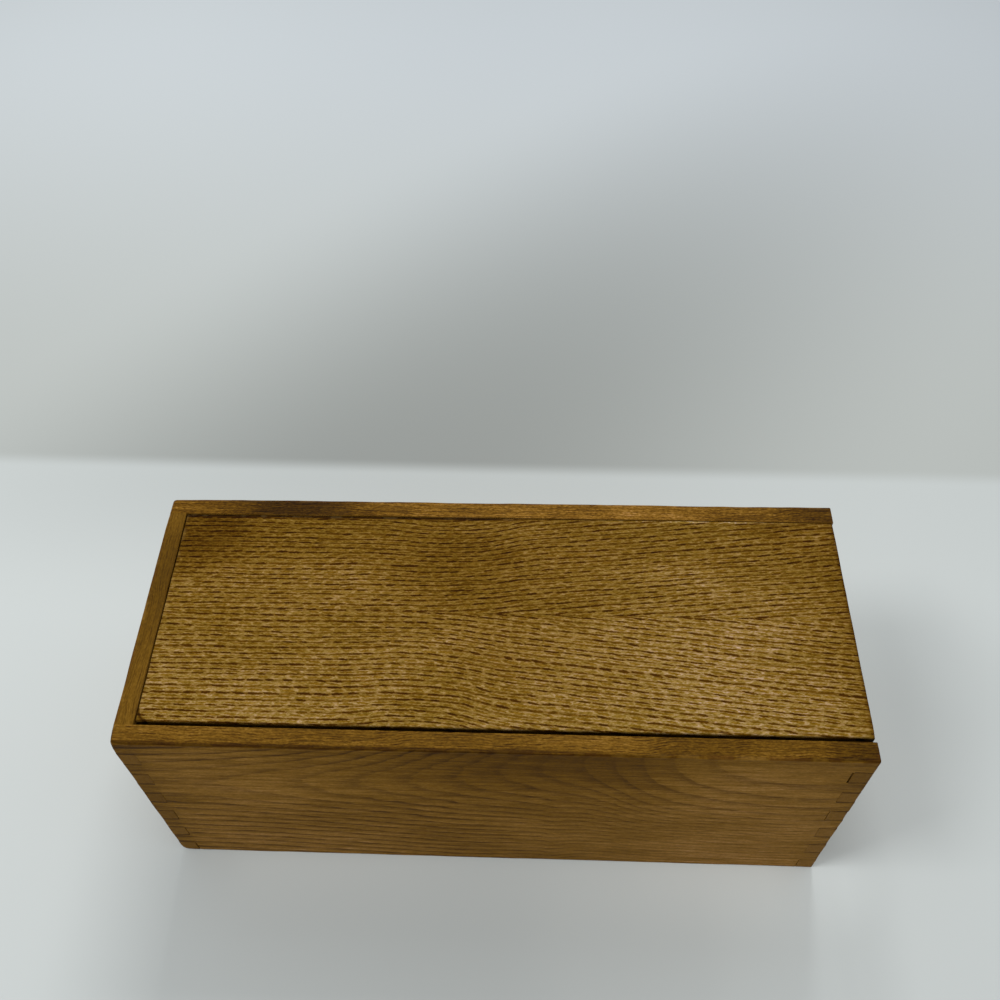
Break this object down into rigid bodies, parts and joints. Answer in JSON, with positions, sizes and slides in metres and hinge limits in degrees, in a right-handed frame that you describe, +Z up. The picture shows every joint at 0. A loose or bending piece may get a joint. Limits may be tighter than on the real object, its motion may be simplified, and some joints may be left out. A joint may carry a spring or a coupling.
{
  "type": "sliding lid wooden box",
  "caption": "Long finger-jointed wooden box with a captured bottom panel and a rebated flat lid that slides lengthwise out over its lower end wall.",
  "frame": {"origin": "middle of the base, on the surface that the box stands on", "axes": "+X along the length, the way the lid slides out; -Y towards the front wall; +Z up"},
  "size_m": [0.287, 0.117, 0.114],
  "materials": {
    "side_walls": "stained and oiled",
    "end_walls": "stained and oiled",
    "bottom": "bare",
    "lid": "stained and oiled, open pores"
  },
  "bodies": {
    "case": {"front_wall": "side_walls", "back_wall": "side_walls", "tall_end_wall": "end_walls", "low_end_wall": "end_walls", "bottom_panel": "bottom"},
    "lid": {"sliding_lid": "lid"}
  },
  "joints": [
    {"name": "lid_slide", "type": "slide", "parent": "case", "child": "lid", "axis": [1, 0, 0], "range_m": [0, 0.29]}
  ]
}
